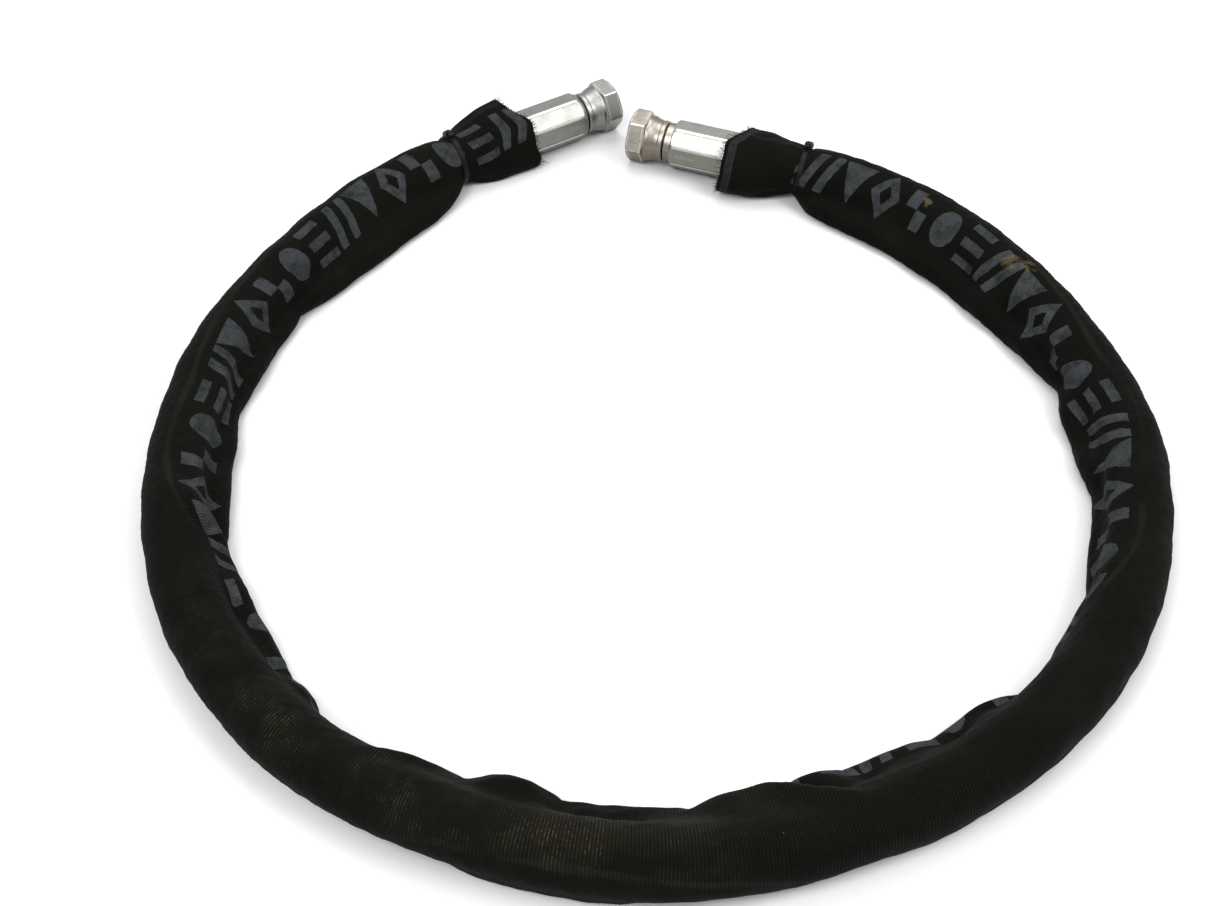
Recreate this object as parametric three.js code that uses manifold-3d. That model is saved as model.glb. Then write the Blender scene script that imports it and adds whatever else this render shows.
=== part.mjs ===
// Hydraulic hose assembly, lying on a floor in one nearly closed loop.
// A two-wire-braid rubber hose carries a crimped fitting with a swivel nut at each end.
// A woven nylon sleeve covers the hose and the back half of each fitting, and two cable ties hold it.
// Millimetres, +X right, +Y across the loop towards the fittings, +Z up, floor at z = 0.

import * as THREE from "three";
import { mergeVertices } from "three/addons/utils/BufferGeometryUtils.js";
import Module from "manifold-3d";

const wasm = await Module();
wasm.setup();

// ---------------------------------------------------------------- driving dimensions

const AXIS_HEIGHT = 17.2; // the hose's centre line, above the floor

// A fitting's own frame: origin at the gap behind its nut, +X out along its axis, +Z up.
const LEFT = { x: -46.5, y: 277.1, azimuth: 31.3, outer: 1, sleeveEnd: 41.5, tie: 99 };
const RIGHT = { x: 14.4, y: 245.8, azimuth: 160.1, outer: -1, sleeveEnd: 45.5, tie: 97 };

// The loop between the two straight ends, hand-placed every 50 to 65 mm along the centre line.
const LOOP = [
  [-181, 185], [-213, 143], [-239, 98], [-259, 49], [-268, -4], [-268, -59],
  [-256, -115], [-231, -168], [-193, -214], [-144, -249], [-88, -273], [-27, -287],
  [35, -285], [96, -268], [153, -240], [203, -199], [241, -147], [263, -87],
  [270, -24], [258, 37], [236, 92], [205, 141], [165, 180],
];
const HOSE_END = 9.5; // the hose stops this far behind the gap, inside its ferrule
const STRAIGHT_STEPS = [HOSE_END, 60, 110];

// Hose, 3/4 inch bore with two wire braids: radii of each layer, inner and outer.
const LAYERS = {
  hose_inner_tube: [9.5, 11.3],
  inner_wire_braid: [11.6, 12.2],
  outer_wire_braid: [12.5, 13.1],
  hose_cover: [13.4, 14.2],
};
const HOSE_SIDES = 10;
const ROUTE_STEPS = 30;

// Ferrule, crimped to eight flats.
const FERRULE_FLAT = 15.7; // axis to flat
const FERRULE_RIDGE = 16.2; // axis to the rounded ridge between two flats
const FERRULE_REAR = 58;
const FERRULE_FRONT = 5.5;
const FERRULE_LIP = 8; // the lip that drops into the stem's groove ends here
const FERRULE_BORE = 13.6;
const FERRULE_LIP_BORE = 11.4;
const FERRULE_ROUNDING = 3; // length of the sloping front edge
const COVER_GAP = 0.4; // the cover is skived off under the ferrule and stops short of it

// Stem: radii of the bore, barbed nipple, shoulder, locking groove, collar, waist and head.
const STEM_BORE = 7;
const NIPPLE = 8.7;
const SHOULDER = 12.4;
const GROOVE = 11;
const COLLAR = 13.6;
const WAIST = 10.5;
const HEAD = 11.9;
const NIPPLE_BACK = -56;
const BARBS = { first: -54, pitch: 9, count: 4, depth: 0.5, slope: 0.4 };
const WAIST_FRONT = 4.4;
const HEAD_FRONT = 13;
const SEAT_ANGLE = THREE.MathUtils.degToRad(37);
const SEAT_RIM = 0.7; // flat left round the mouth of the seat
const TOUCH = 0.3; // clearance between parts that meet, and small broken edges

// Swivel nut for a 1 1/16 inch thread.
const ACROSS_FLATS = 31.75;
const NUT_FRONT = 25.5;
const HEX_BACK = 13.4;
const NUT_BACK = 0.4;
const NUT_NECK = [[0.4, 13.8], [0.7, 14.1], [3.6, 14.1], [6.8, 14.7], [9.6, 15.5], [14.4, 15.7]];
const NUT_LIP = { front: 4, bore: 11 }; // the lip that hooks behind the stem's head
const HEX_CHAMFER = { back: 0.6, front: 1.2, drop: 1 };
const MOUTH_CHAMFER = { depth: 1.1, radius: 13.8 };
const THREAD_MINOR = 12.6;
const THREAD_MAJOR = 13.4;
const THREAD_PITCH = 2.1;
const THREAD_TURNS = 4;

// Sleeve: a woven tube, close to the hose outside the bend and bunched up inside it.
const SLEEVE_WALL = 1;
const SLEEVE_SNUG = 16.8; // inner radius
const SLEEVE_BUNCHED = 29.8; // outer half width on the inside of the bend
const SLEEVE_FLOOR = AXIS_HEIGHT - SLEEVE_WALL; // flattened underneath
const SLEEVE_NECK = 14.8; // inner radius under a cable tie
const NECK_WALL = 0.8;
const NECK_HALF = 5;
const NECK_TAPER = 6;
const SLEEVE_SIDES = 14;
const LOOP_START = 116; // the bunched stretch begins this far behind the gap
const OVERLAP = 6; // solids that are joined run this far into each other

// Cable tie.
const TIE_INNER = 15.95;
const TIE_THICK = 1.1;
const TIE_WIDTH = 3.6;
const TIE_HEAD = [5.2, 6, 4.4]; // along the hose, around it, out from it
const TIE_HEAD_TILT = THREE.MathUtils.degToRad(65);
const TIE_HEAD_SUNK = 0.25;
const TIE_TAIL = 4;
const TIE_TAIL_RISE = 0.6;

const ROUND = 20; // sides of a turned part
const STEM_SIDES = 16;

// ---------------------------------------------------------------- finishes

const finish = (color, roughness, metalness) =>
  new THREE.MeshStandardMaterial({ color, roughness, metalness });
const PLATED = finish(0xa8a59c, 0.36, 1);
const WORN_PLATED = finish(0x98948a, 0.42, 1);
const BRAID = finish(0x8d8369, 0.45, 1);
const RUBBER = finish(0x1c1c1c, 0.75, 0);
const FABRIC = finish(0x14150f, 0.95, 0);
const NYLON = finish(0x17181a, 0.5, 0);

// ---------------------------------------------------------------- helpers

/** A closed mesh as a solid that can be joined and cut. */
function solid(geometry) {
  const bare = geometry.index ? geometry.toNonIndexed() : geometry.clone();
  bare.deleteAttribute("normal");
  bare.deleteAttribute("uv");
  const merged = mergeVertices(bare, 1e-3);
  return new wasm.Manifold(new wasm.Mesh({
    numProp: 3,
    vertProperties: new Float32Array(merged.attributes.position.array),
    triVerts: new Uint32Array(merged.index.array),
  }));
}

/** A solid back as a mesh geometry. */
function surface(body) {
  const { vertProperties, triVerts } = body.getMesh();
  const geometry = new THREE.BufferGeometry();
  geometry.setAttribute("position", new THREE.BufferAttribute(vertProperties, 3));
  geometry.setIndex(new THREE.BufferAttribute(triVerts, 1));
  geometry.computeVertexNormals();
  return geometry;
}

/** A closed outline of [x, radius] points turned about the X axis. */
function turned(outline, sides = ROUND) {
  const points = [...outline, outline[0]].map(([x, r]) => new THREE.Vector2(r, x));
  return new THREE.LatheGeometry(points, sides).rotateZ(-Math.PI / 2);
}

/** A plain ring about the X axis, from x0 to x1. */
const ring = (x0, x1, inner, outer) =>
  turned([[x0, inner], [x0, outer], [x1, outer], [x1, inner]]);

/** A solid bar about the X axis with the given number of sides, one of them facing down. */
function bar(x0, x1, radius, sides) {
  return new THREE.CylinderGeometry(radius, radius, x1 - x0, sides)
    .rotateZ(-Math.PI / 2)
    .rotateX(Math.PI / sides)
    .translate((x0 + x1) / 2, 0, 0);
}

/** The matrix of a fitting's own frame. */
function placeOf(end) {
  const turn = new THREE.Matrix4().makeRotationZ(THREE.MathUtils.degToRad(end.azimuth));
  return turn.setPosition(end.x, end.y, AXIS_HEIGHT);
}

/** The point on a fitting's axis at a distance behind its gap. */
const behind = (end, distance) =>
  new THREE.Vector3(-distance, 0, 0).applyMatrix4(placeOf(end));

/** The hose's centre line, from inside the left ferrule round the loop into the right one. */
function centreLine() {
  const loop = LOOP.map(([x, y]) => new THREE.Vector3(x, y, AXIS_HEIGHT));
  const start = STRAIGHT_STEPS.map((d) => behind(LEFT, d));
  const end = STRAIGHT_STEPS.map((d) => behind(RIGHT, d)).reverse();
  return new THREE.CatmullRomCurve3([...start, ...loop, ...end], false, "catmullrom", 0.5);
}
const ROUTE = centreLine();

/** Points round a section: x is downwards and y is towards the inside of the loop. */
function section(sides, radius, inward = radius, floor = radius) {
  return Array.from({ length: sides }, (_, i) => {
    const angle = (i / sides) * 2 * Math.PI;
    const across = Math.cos(angle) * (Math.cos(angle) > 0 ? inward : radius);
    const down = Math.min(Math.sin(angle) * radius, floor);
    return new THREE.Vector2(down, across);
  });
}

/** A section swept along the centre line, hollow where a second section is given. */
function swept(outer, inner) {
  const shape = new THREE.Shape(outer);
  if (inner) shape.holes.push(new THREE.Path(inner.toReversed()));
  return new THREE.ExtrudeGeometry(shape, { steps: ROUTE_STEPS, extrudePath: ROUTE });
}

/** A solid with all that lies in front of a distance behind each gap cut away. */
function cutBack(body, distance, reach) {
  return [LEFT, RIGHT].reduce((rest, end) =>
    rest.subtract(solid(bar(-distance, 0, reach, 8).applyMatrix4(placeOf(end)))), body);
}

// ---------------------------------------------------------------- hose

/** One layer of the hose, from end to end. */
function hoseLayer(inner, outer) {
  return swept(section(HOSE_SIDES, outer), section(HOSE_SIDES, inner));
}

/** The cover, cut back to the mouth of each ferrule. */
function hoseCover() {
  const [inner, outer] = LAYERS.hose_cover;
  return cutBack(solid(hoseLayer(inner, outer)), FERRULE_REAR + COVER_GAP, 2 * outer);
}

// ---------------------------------------------------------------- fitting

/** The nipple's barbs, from the back end to the shoulder. */
function barbs() {
  const { first, pitch, count, depth, slope } = BARBS;
  const outline = [[NIPPLE_BACK, STEM_BORE], [NIPPLE_BACK, NIPPLE - depth]];
  for (let i = 0; i < count; i++) {
    const x = first + i * pitch;
    outline.push([x, NIPPLE], [x + slope, NIPPLE - depth]);
  }
  return outline;
}

/** The stem, from its barbed nipple in the hose to the conical seat in the nut. */
function stem() {
  const shoulder = -HOSE_END + TOUCH;
  const [grooveBack, grooveFront] = [-FERRULE_LIP - TOUCH, -FERRULE_FRONT + TOUCH];
  const mouth = HEAD - SEAT_RIM;
  const coneEnd = HEAD_FRONT - (mouth - STEM_BORE) / Math.tan(SEAT_ANGLE);
  return turned([
    ...barbs(),
    [shoulder, NIPPLE - BARBS.depth], [shoulder, SHOULDER],
    [grooveBack, SHOULDER], [grooveBack, GROOVE], [grooveFront, GROOVE],
    [grooveFront, COLLAR - TOUCH], [grooveFront + TOUCH, COLLAR],
    [-TOUCH, COLLAR], [0, COLLAR - TOUCH],
    [0, WAIST], [WAIST_FRONT, WAIST],
    [WAIST_FRONT, HEAD - TOUCH], [WAIST_FRONT + TOUCH, HEAD], [HEAD_FRONT - TOUCH, HEAD],
    [HEAD_FRONT, mouth], [coneEnd, STEM_BORE],
  ], STEM_SIDES);
}

/** The ferrule: a cup over the hose's end, pressed to flats all round. */
function ferrule() {
  const envelope = turned([
    [-FERRULE_REAR, FERRULE_BORE],
    [-FERRULE_REAR, FERRULE_FLAT - TOUCH], [-FERRULE_REAR + 1, FERRULE_RIDGE],
    [-FERRULE_FRONT - FERRULE_ROUNDING, FERRULE_RIDGE], [-FERRULE_FRONT, COLLAR + 2 * TOUCH],
    [-FERRULE_FRONT, FERRULE_LIP_BORE], [-FERRULE_LIP, FERRULE_LIP_BORE],
    [-FERRULE_LIP, FERRULE_BORE],
  ]);
  const flats = bar(-FERRULE_REAR - 1, 0, FERRULE_FLAT / Math.cos(Math.PI / 8), 8);
  return solid(envelope).intersect(solid(flats));
}

/** The nut's bore: the seat for the stem's head, then the thread as plain rings. */
function nutBore() {
  const [start, end] = [NUT_BACK - 1, NUT_FRONT + 0.1];
  const threadStart = HEAD_FRONT + 2;
  const outline = [
    [start, 1], [start, NUT_LIP.bore], [NUT_LIP.front, NUT_LIP.bore],
    [NUT_LIP.front, THREAD_MINOR], [threadStart, THREAD_MINOR],
  ];
  for (let i = 0; i < THREAD_TURNS; i++) {
    const x = threadStart + i * THREAD_PITCH;
    outline.push([x + THREAD_PITCH / 2, THREAD_MAJOR], [x + THREAD_PITCH, THREAD_MINOR]);
  }
  outline.push([NUT_FRONT - MOUTH_CHAMFER.depth, THREAD_MINOR], [end, MOUTH_CHAMFER.radius], [end, 1]);
  return solid(turned(outline)).add(solid(bar(start, end, 5, 8)));
}

/** The swivel nut: a hexagon with chamfered corners on a flared neck. */
function nut() {
  const corner = ACROSS_FLATS / 2 / Math.cos(Math.PI / 6);
  const beyond = corner + 0.2;
  const hex = solid(bar(HEX_BACK, NUT_FRONT, corner, 6));
  const chamfers = solid(turned([
    [HEX_BACK, 1], [HEX_BACK, corner - HEX_CHAMFER.drop], [HEX_BACK + HEX_CHAMFER.back, beyond],
    [NUT_FRONT - HEX_CHAMFER.front, beyond], [NUT_FRONT, ACROSS_FLATS / 2 + 0.5], [NUT_FRONT, 1],
  ])).add(solid(bar(HEX_BACK, NUT_FRONT, 5, 8)));
  const neck = solid(turned([[NUT_NECK[0][0], 8], ...NUT_NECK, [NUT_NECK.at(-1)[0], 8]]));
  return hex.intersect(chamfers).add(neck).subtract(nutBore());
}

// ---------------------------------------------------------------- sleeve and ties

/** The filled outline of the sleeve's round end stretch, waisted where the tie pulls it in. */
function sleeveEnd(end, wall, neckWall, overrun) {
  const wide = SLEEVE_SNUG + wall;
  const tight = SLEEVE_NECK + neckWall;
  const front = -end.sleeveEnd + overrun;
  const back = -LOOP_START - OVERLAP;
  const waist = [NECK_HALF + NECK_TAPER, NECK_HALF, -NECK_HALF, -NECK_HALF - NECK_TAPER];
  const radii = [wide, tight, tight, wide];
  const shell = turned([
    [back, 4], [back, wide],
    ...waist.map((reach, i) => [-end.tie - reach, radii[i]]),
    [front, wide], [front, 4],
  ]);
  return solid(shell).add(solid(bar(back, front, 5, 8)));
}

/** The sleeve: its filled outside less its filled inside, each a loop and two end stretches. */
function sleeve() {
  const outer = section(SLEEVE_SIDES, SLEEVE_SNUG + SLEEVE_WALL, SLEEVE_BUNCHED, AXIS_HEIGHT);
  const inner = section(SLEEVE_SIDES, SLEEVE_SNUG, SLEEVE_SNUG, SLEEVE_FLOOR);
  const reach = 3 * SLEEVE_BUNCHED;
  let outside = cutBack(solid(swept(outer)), LOOP_START, reach);
  let inside = cutBack(solid(swept(inner)), LOOP_START, reach);
  const floor = solid(new THREE.BoxGeometry(400, 100, 10).translate(0, 0, -5 - AXIS_HEIGHT));
  for (const end of [LEFT, RIGHT]) {
    const at = (body) => solid(surface(body).applyMatrix4(placeOf(end)));
    outside = outside.add(at(sleeveEnd(end, SLEEVE_WALL, NECK_WALL, 0).subtract(floor)));
    inside = inside.add(at(sleeveEnd(end, 0, 0, 1)));
  }
  return outside.subtract(inside);
}

/** A cable tie in the fitting's frame: closed strap, locking head and cut-off tail. */
function cableTie(end) {
  const strapOuter = TIE_INNER + TIE_THICK;
  const [wide, round, tall] = TIE_HEAD;
  const strap = solid(ring(-TIE_WIDTH / 2, TIE_WIDTH / 2, TIE_INNER, strapOuter));
  const out = TIE_INNER + TIE_HEAD_SUNK + tall / 2;
  const head = new THREE.BoxGeometry(wide, round, tall).translate(0, 0, out);
  const tailLength = TIE_TAIL + round / 2;
  const tail = new THREE.BoxGeometry(TIE_WIDTH - 0.4, tailLength, TIE_THICK)
    .translate(0, (-end.outer * tailLength) / 2, out + TIE_TAIL_RISE);
  return [head, tail].reduce((tie, piece) => {
    const tilted = piece.rotateX(-end.outer * (Math.PI / 2 - TIE_HEAD_TILT));
    return tie.add(solid(tilted));
  }, strap);
}

// ---------------------------------------------------------------- assembly

const assembly = new THREE.Group();

function place(parent, name, geometry, material) {
  const mesh = new THREE.Mesh(geometry, material);
  mesh.name = name;
  parent.add(mesh);
  return mesh;
}

for (const [name, [inner, outer]] of Object.entries(LAYERS)) {
  if (name === "hose_cover") place(assembly, name, surface(hoseCover()), RUBBER);
  else place(assembly, name, hoseLayer(inner, outer), name.endsWith("braid") ? BRAID : RUBBER);
}
place(assembly, "abrasion_sleeve", surface(sleeve()), FABRIC);

for (const [side, end] of Object.entries({ left: LEFT, right: RIGHT })) {
  const fitting = new THREE.Group();
  fitting.applyMatrix4(placeOf(end));
  assembly.add(fitting);
  place(fitting, `${side}_hose_stem`, stem(), PLATED);
  place(fitting, `${side}_crimp_ferrule`, surface(ferrule()), PLATED);
  place(fitting, `${side}_swivel_nut`, surface(nut()), WORN_PLATED);
  place(fitting, `${side}_cable_tie`, surface(cableTie(end)), NYLON).position.x = -end.tie;
}

export default assembly;
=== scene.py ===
"""Hydraulic hose assembly: a rubber hose in a slack woven sleeve, with a swivel-nut fitting at each end.

Metres, in the row frame: +X right, +Y across the loop towards the fittings, +Z up, floor at z = 0.
"""
import math

import bmesh
import bpy
import numpy as np
from mathutils import Matrix, Vector


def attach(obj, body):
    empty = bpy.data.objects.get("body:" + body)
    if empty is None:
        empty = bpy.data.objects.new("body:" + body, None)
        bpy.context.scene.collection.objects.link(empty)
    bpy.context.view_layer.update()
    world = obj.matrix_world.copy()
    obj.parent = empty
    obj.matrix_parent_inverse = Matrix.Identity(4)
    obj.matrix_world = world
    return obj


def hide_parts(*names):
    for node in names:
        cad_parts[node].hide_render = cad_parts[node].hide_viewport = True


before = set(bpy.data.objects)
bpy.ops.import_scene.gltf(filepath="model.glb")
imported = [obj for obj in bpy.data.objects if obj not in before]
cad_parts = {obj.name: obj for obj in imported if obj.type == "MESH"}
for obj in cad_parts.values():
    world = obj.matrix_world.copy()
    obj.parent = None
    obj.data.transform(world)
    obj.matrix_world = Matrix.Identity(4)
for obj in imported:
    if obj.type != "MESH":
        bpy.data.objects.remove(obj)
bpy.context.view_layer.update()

MM = 0.001
TAU = 2 * math.pi
rng = np.random.default_rng(11)

# -------- driving dimensions

AXIS_HEIGHT = 0.0172  # the hose's centre line, above the floor
# A fitting's origin is the gap behind its nut; sleeve_end and tie lie that far behind it.
FITTINGS = {
    "left": dict(at=(-0.0465, 0.2771), azimuth=31.3, outer=1, sleeve_end=0.0415, tie=0.099),
    "right": dict(at=(0.0144, 0.2458), azimuth=160.1, outer=-1, sleeve_end=0.0455, tie=0.097),
}
# The loop between the two straight ends: a point every 50 to 65 mm along the centre line.
LOOP = [
    (-0.181, 0.185), (-0.213, 0.143), (-0.239, 0.098), (-0.259, 0.049), (-0.268, -0.004),
    (-0.268, -0.059), (-0.256, -0.115), (-0.231, -0.168), (-0.193, -0.214), (-0.144, -0.249),
    (-0.088, -0.273), (-0.027, -0.287), (0.035, -0.285), (0.096, -0.268), (0.153, -0.240),
    (0.203, -0.199), (0.241, -0.147), (0.263, -0.087), (0.270, -0.024), (0.258, 0.037),
    (0.236, 0.092), (0.205, 0.141), (0.165, 0.180),
]
HOSE_END = 0.0095  # the hose stops this far behind the gap, inside its ferrule
STRAIGHT_STEPS = (HOSE_END, 0.060, 0.110)
HOSE_LAYERS = {  # inner and outer radius
    "hose_inner_tube": (0.0095, 0.0113),
    "inner_wire_braid": (0.0116, 0.0122),
    "outer_wire_braid": (0.0125, 0.0131),
    "hose_cover": (0.0134, 0.0142),
}
FERRULE_REAR = 0.058
COVER_GAP = 0.0004  # between the ferrule's back and the hose's cover

SLEEVE_HUG = 0.0172  # radius to the middle of the cloth, outside the bend
SLEEVE_OUTSIDE = 0.0178
CLOTH = 0.0011
GIRTH = 0.138  # round the woven tube; it lies 69 mm wide when flat
TIE_GRIP = 0.0152  # radius to the middle of the cloth, under a cable tie
AROUND = 0.016  # metres of paint for each radian round a fitting


# -------- camera

EYE = (-0.0275, -0.5977, 0.6592)
LOOKS_DOWN = math.radians(49)


def make_camera():
    camera = bpy.data.objects.new("camera", bpy.data.cameras.new("camera"))
    camera.data.lens = 44.48
    camera.data.sensor_width = 36
    camera.data.clip_start = 0.01
    camera.location = EYE
    camera.rotation_euler = (math.pi / 2 - LOOKS_DOWN, 0, 0)
    bpy.context.scene.collection.objects.link(camera)
    bpy.context.scene.camera = camera


# -------- the hose's route

def behind(end, distance):
    """The point on a fitting's axis at a distance behind the gap at the back of its nut."""
    angle = math.radians(end["azimuth"])
    x, y = end["at"]
    return x - distance * math.cos(angle), y - distance * math.sin(angle)


class Route:
    """The hose's centre line, measured along it from its left end."""

    def __init__(self, spans=40):
        start = [behind(FITTINGS["left"], d) for d in STRAIGHT_STEPS]
        finish = [behind(FITTINGS["right"], d) for d in reversed(STRAIGHT_STEPS)]
        points = np.array(start + LOOP + finish)
        padded = np.vstack([2 * points[0] - points[1], points, 2 * points[-1] - points[-2]])
        t = np.linspace(0, 1, spans, endpoint=False)[:, None]
        pieces = []
        for before, a, b, after in zip(padded, padded[1:], padded[2:], padded[3:]):
            leave, arrive = (b - before) / 2, (after - a) / 2
            pieces.append(
                (2 * t**3 - 3 * t**2 + 1) * a + (t**3 - 2 * t**2 + t) * leave
                + (3 * t**2 - 2 * t**3) * b + (t**3 - t**2) * arrive
            )
        line = np.vstack(pieces + [points[-1:]])
        steps = np.linalg.norm(np.diff(line, axis=0), axis=1)
        self.line = line
        self.arc = np.concatenate([[0], np.cumsum(steps)])
        self.length = self.arc[-1]
        slope = np.gradient(line, axis=0)
        self.heading = np.unwrap(np.arctan2(slope[:, 1], slope[:, 0]))

    def heading_at(self, s):
        return np.interp(s, self.arc, self.heading)

    def at(self, s):
        """Centre, direction along the hose and direction towards the inside of the loop."""
        centre = np.stack([np.interp(s, self.arc, self.line[:, i]) for i in (0, 1)], -1)
        centre = np.concatenate([centre, np.full((*np.shape(s), 1), AXIS_HEIGHT)], -1)
        turn = self.heading_at(s)
        zero = np.zeros_like(turn)
        along = np.stack([np.cos(turn), np.sin(turn), zero], -1)
        inward = np.stack([-np.sin(turn), np.cos(turn), zero], -1)
        return centre, along, inward


ROUTE = Route()
UP = np.array([0.0, 0.0, 1.0])


# -------- mesh helpers

def smoothstep(x, low, high):
    t = np.clip((np.asarray(x, float) - low) / (high - low), 0, 1)
    return t * t * (3 - 2 * t)


def grid_mesh(name, points, material, close_rows=False, uv=None):
    """A smooth mesh from rows of points; each row closes on itself, and the rows may as well."""
    rows, columns = points.shape[:2]
    i = np.arange(rows if close_rows else rows - 1)[:, None]
    j = np.arange(columns)[None, :]
    down, across = (i + 1) % rows, (j + 1) % columns
    corners = [i * columns + j, down * columns + j, down * columns + across, i * columns + across]
    faces = np.stack(np.broadcast_arrays(*corners), -1).reshape(-1, 4)
    flat = points.reshape(-1, 3)
    a, b, c, d = (flat[faces[:, k]] for k in range(4))
    volume = np.einsum("ij,ij->", np.cross(c - a, d - b), a + b + c + d)
    order = slice(None) if volume > 0 else slice(None, None, -1)
    mesh = bpy.data.meshes.new(name)
    mesh.from_pydata(flat.tolist(), [], faces[:, order].tolist())
    if uv is not None:
        u, v = uv
        us, vs = np.broadcast_arrays(u[:, None], v[None, :])
        us, vs = us.reshape(-1), vs.reshape(-1)
        # The last column's faces run on past the seam, where v starts again.
        at_seam = np.broadcast_to(j == columns - 1, (len(i), columns)).reshape(-1, 1)
        past_seam = at_seam & np.array([False, False, True, True])
        wrap = np.where(past_seam, (v[1] - v[0]) * columns, 0)
        loops = np.stack([us[faces], vs[faces] + wrap], -1)[:, order]
        mesh.uv_layers.new(name="surface").data.foreach_set("uv", loops.astype(np.float32).ravel())
    mesh.shade_smooth()
    return finished(name, mesh, material)


def finished(name, mesh, material):
    piece = bpy.data.objects.new(name, mesh)
    bpy.context.scene.collection.objects.link(piece)
    if material:
        mesh.materials.append(material)
    return piece


def rounded(outline, radius, steps=4):
    """A closed outline of [x, r] points with its corners rounded off."""
    points = np.array(outline, float)
    result = []
    for before, corner, after in zip(np.roll(points, 1, 0), points, np.roll(points, -1, 0)):
        back, ahead = before - corner, after - corner
        reach = min(radius, 0.45 * np.linalg.norm(back), 0.45 * np.linalg.norm(ahead))
        start = corner + back / np.linalg.norm(back) * reach
        end = corner + ahead / np.linalg.norm(ahead) * reach
        for t in np.linspace(0, 1, steps):
            result.append((1 - t) ** 2 * start + 2 * t * (1 - t) * corner + t**2 * end)
    return np.array(result)


def divided(outline, spacing):
    """A closed outline with extra points, so that none are further apart than the spacing."""
    result = []
    for a, b in zip(outline, np.roll(outline, -1, 0)):
        count = max(1, math.ceil(np.linalg.norm(b - a) / spacing))
        result.extend(a + (b - a) * k / count for k in range(count))
    return np.array(result)


def soft_least(a, b, blend):
    """The smaller of two radii, with the edge between them rounded."""
    near = np.maximum(blend - np.abs(a - b), 0) / blend
    return np.minimum(a, b) - near**2 * blend / 4


def turned(name, end, outline, material, sides=144, limit=None, start=0.0):
    """An outline of (x, r) points in mm turned about a fitting's axis; limit shapes its radius.

    start is the angle that the paint's distance round the axis is measured from.
    """
    outline = np.array(outline)
    theta = np.arange(sides) / sides * TAU
    x, r = outline[:, 0, None], outline[:, 1, None] + 0 * theta
    if limit is not None:
        r = limit(x, r, theta)
    local = np.stack([x + 0 * theta, r * np.cos(theta), r * np.sin(theta)], -1) * MM
    uv = (outline[:, 0] * MM, (theta - start) * AROUND)
    piece = grid_mesh(name, in_place(local, end), material, close_rows=True, uv=uv)
    piece.modifiers.new("normals", "WEIGHTED_NORMAL").keep_sharp = True
    return piece


def in_place(local, end):
    """Points in a fitting's own frame (+X out along its axis, +Z up) in the row frame."""
    angle = math.radians(end["azimuth"])
    c, s = math.cos(angle), math.sin(angle)
    x, y, z = local[..., 0], local[..., 1], local[..., 2]
    ox, oy = end["at"]
    return np.stack([ox + x * c - y * s, oy + x * s + y * c, AXIS_HEIGHT + z], -1)


# -------- materials

def feed(node, values):
    """Gives a node its inputs, each a field or a plain number."""
    for slot, value in zip(node.inputs, values):
        if isinstance(value, Field):
            value.tree.links.new(value.socket, slot)
        else:
            slot.default_value = value


def sum_of(operation, *fixed):
    """A method that works out one kind of sum on a field."""
    return lambda field, *others: field.math(operation, *others, *fixed)


class Field:
    """A number worked out by shader nodes at each point of a surface."""

    def __init__(self, tree, socket):
        self.tree, self.socket = tree, socket

    def math(self, operation, *values):
        node = self.tree.nodes.new("ShaderNodeMath")
        node.operation = operation
        feed(node, (self, *values))
        return Field(self.tree, node.outputs[0])

    __add__ = __radd__ = sum_of("ADD")
    __sub__ = sum_of("SUBTRACT")
    __mul__ = __rmul__ = sum_of("MULTIPLY")
    __truediv__ = sum_of("DIVIDE")
    __neg__ = sum_of("MULTIPLY", -1.0)
    __abs__ = sum_of("ABSOLUTE")
    floor = sum_of("FLOOR")
    fract = sum_of("FRACT")
    sine = sum_of("SINE")
    root = sum_of("SQRT")
    least = sum_of("MINIMUM")
    most = sum_of("MAXIMUM")
    over = sum_of("GREATER_THAN")
    under = sum_of("LESS_THAN")

    def step(self, low, high):
        """0 below low, 1 above high and smooth between; low may be the larger."""
        node = self.tree.nodes.new("ShaderNodeMapRange")
        node.interpolation_type = "SMOOTHSTEP"
        self.tree.links.new(self.socket, node.inputs["Value"])
        node.inputs["From Min"].default_value = min(low, high)
        node.inputs["From Max"].default_value = max(low, high)
        node.inputs["To Min"].default_value = 0 if low < high else 1
        node.inputs["To Max"].default_value = 1 if low < high else 0
        return Field(self.tree, node.outputs["Result"])


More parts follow.
